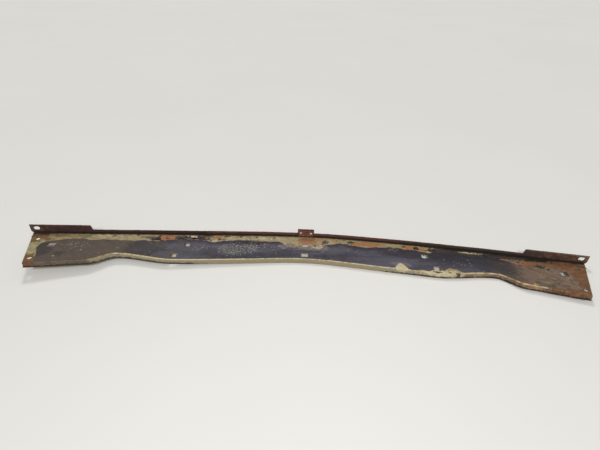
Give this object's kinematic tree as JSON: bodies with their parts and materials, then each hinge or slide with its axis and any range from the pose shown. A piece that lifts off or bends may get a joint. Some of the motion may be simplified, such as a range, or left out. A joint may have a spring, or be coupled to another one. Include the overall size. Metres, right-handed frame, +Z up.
{
  "type": "door foot strip",
  "caption": "Long bowed pressed-steel strip for the foot of a door, with a turned-down front lip, a rear rail with slotted end tabs and a worn black facing.",
  "frame": {"origin": "middle of the underside of the bounding box", "axes": "+X along the strip, +Y towards the rear rail, +Z up"},
  "size_m": [1.2154, 0.1754, 0.0448],
  "materials": {
    "panel_paint": "old cream primer, worn through to rust at the ends",
    "rail_paint": "dark maroon-brown paint gone matt and rusty",
    "centre_tab_rust": "red-brown rust over old paint",
    "weld_metal": "rusted weld metal",
    "facing": "black bonded facing, satin, scuffed and peeling"
  },
  "bodies": {
    "root": {"web_panel": "panel_paint", "rear_rail": "rail_paint", "centre_tab": "centre_tab_rust", "black_facing": "facing", "facing_flake_1": "facing", "facing_flake_2": "facing", "facing_flake_3": "facing", "facing_flake_4": "facing", "facing_flake_5": "facing", "facing_flake_6": "facing", "rail_weld_1": "weld_metal", "rail_weld_2": "weld_metal", "rail_weld_3": "weld_metal", "rail_weld_4": "weld_metal", "rail_weld_5": "weld_metal", "rail_weld_6": "weld_metal", "rail_weld_7": "weld_metal", "rail_weld_8": "weld_metal", "rail_weld_9": "weld_metal", "rail_weld_10": "weld_metal", "rail_weld_11": "weld_metal", "rail_weld_12": "weld_metal", "tab_weld_1": "weld_metal", "tab_weld_2": "weld_metal"}
  },
  "joints": []
}
